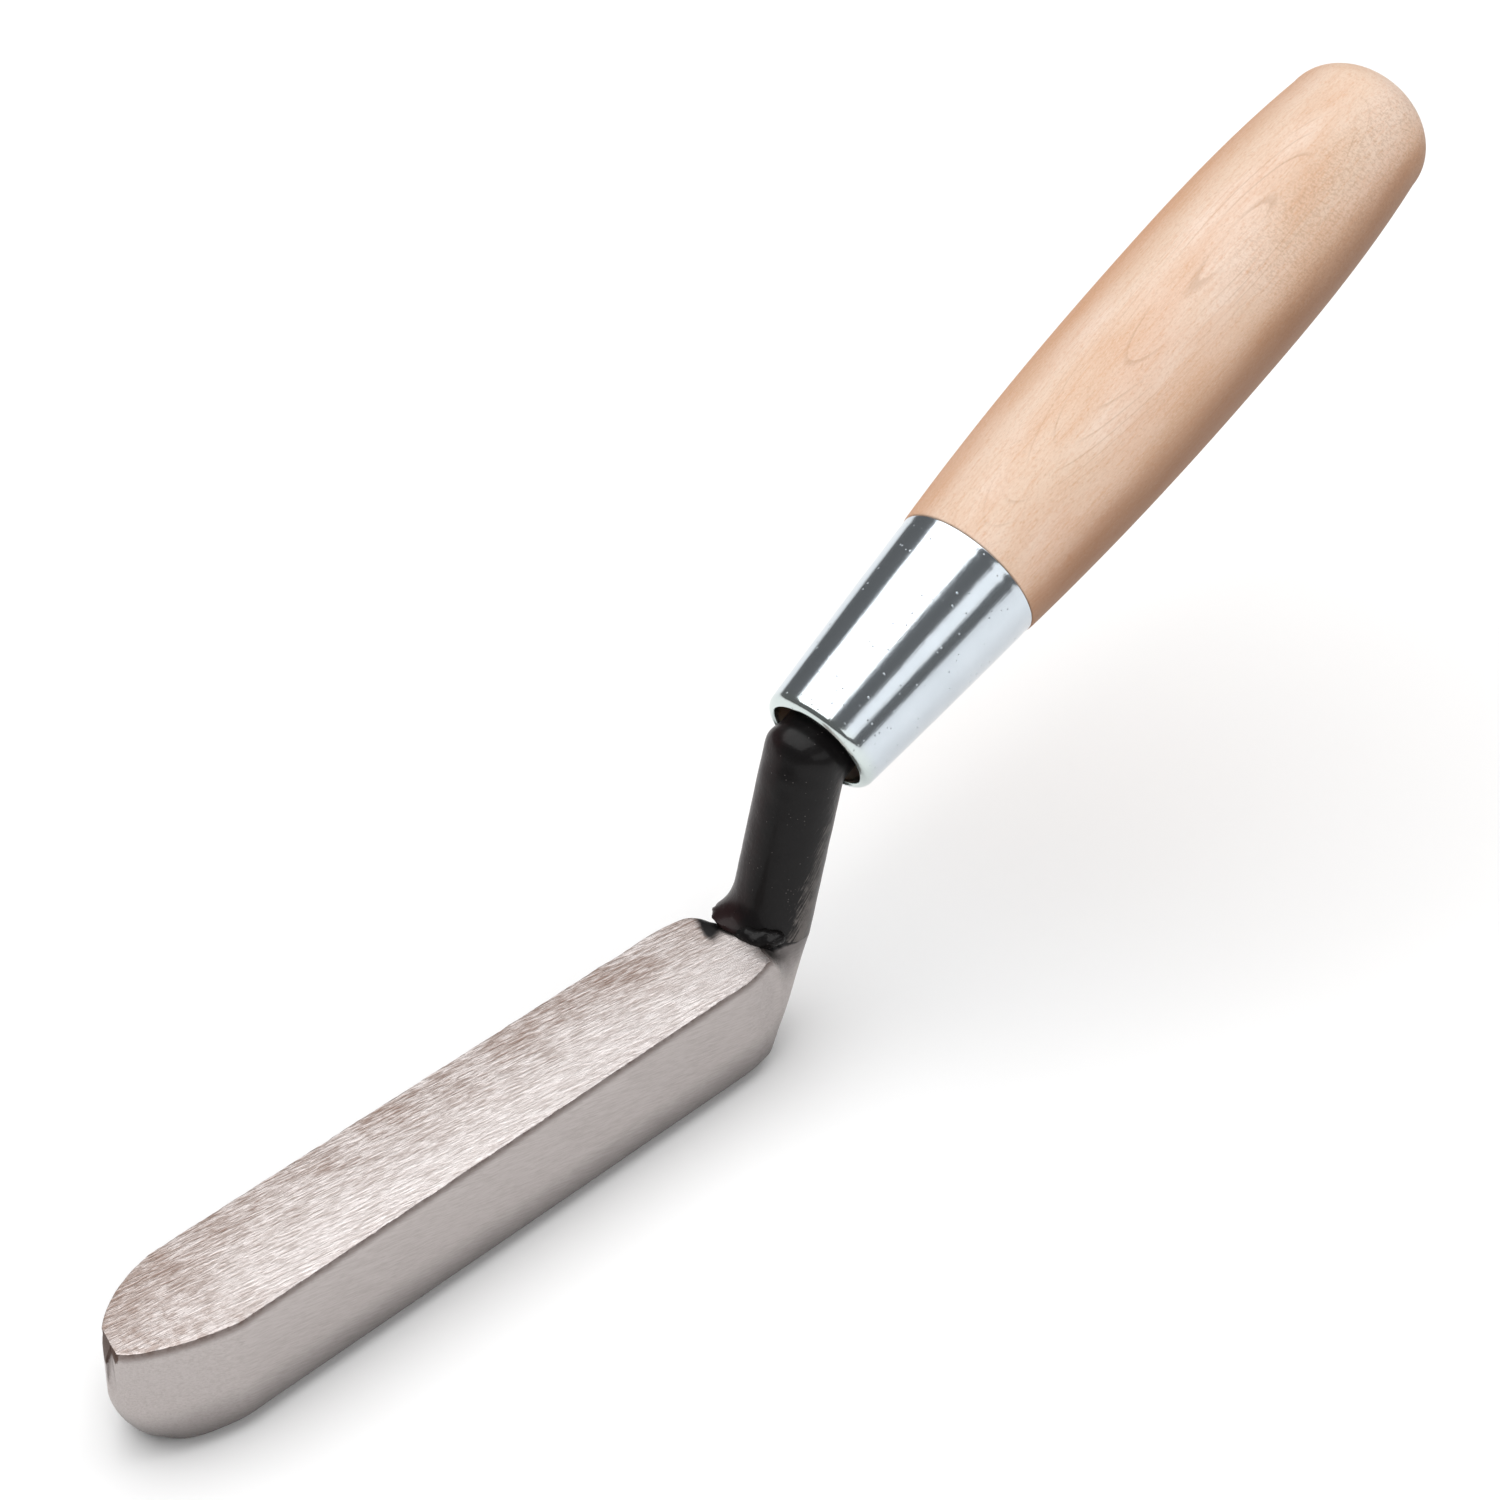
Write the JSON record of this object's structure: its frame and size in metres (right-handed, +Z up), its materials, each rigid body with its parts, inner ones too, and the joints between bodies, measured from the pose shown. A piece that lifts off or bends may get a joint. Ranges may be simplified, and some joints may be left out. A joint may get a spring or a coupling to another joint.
{
  "type": "round-nosed bar trowel",
  "caption": "Hand trowel with a solid round-nosed ground-steel bar blade, a cranked black shank, a plated ferrule and a turned wooden handle.",
  "frame": {"origin": "middle of the flat sole under the blade", "axes": "+X from the nose along the blade towards the handle, +Y across the blade, +Z up from the sole"},
  "size_m": [0.2761, 0.0294, 0.11],
  "materials": {
    "blade_steel": "coarse ground top, finer ground sides",
    "black_paint": "gloss black paint, worn at the foot",
    "weld_paint": "gloss black paint over a rough weld",
    "ferrule_plate": "bright zinc plate",
    "handle_wood": "satin lacquer on turned maple"
  },
  "bodies": {
    "root": {"blade": "blade_steel", "weld_bead": "weld_paint", "shank": "black_paint", "ferrule": "ferrule_plate", "handle": "handle_wood"}
  },
  "joints": []
}
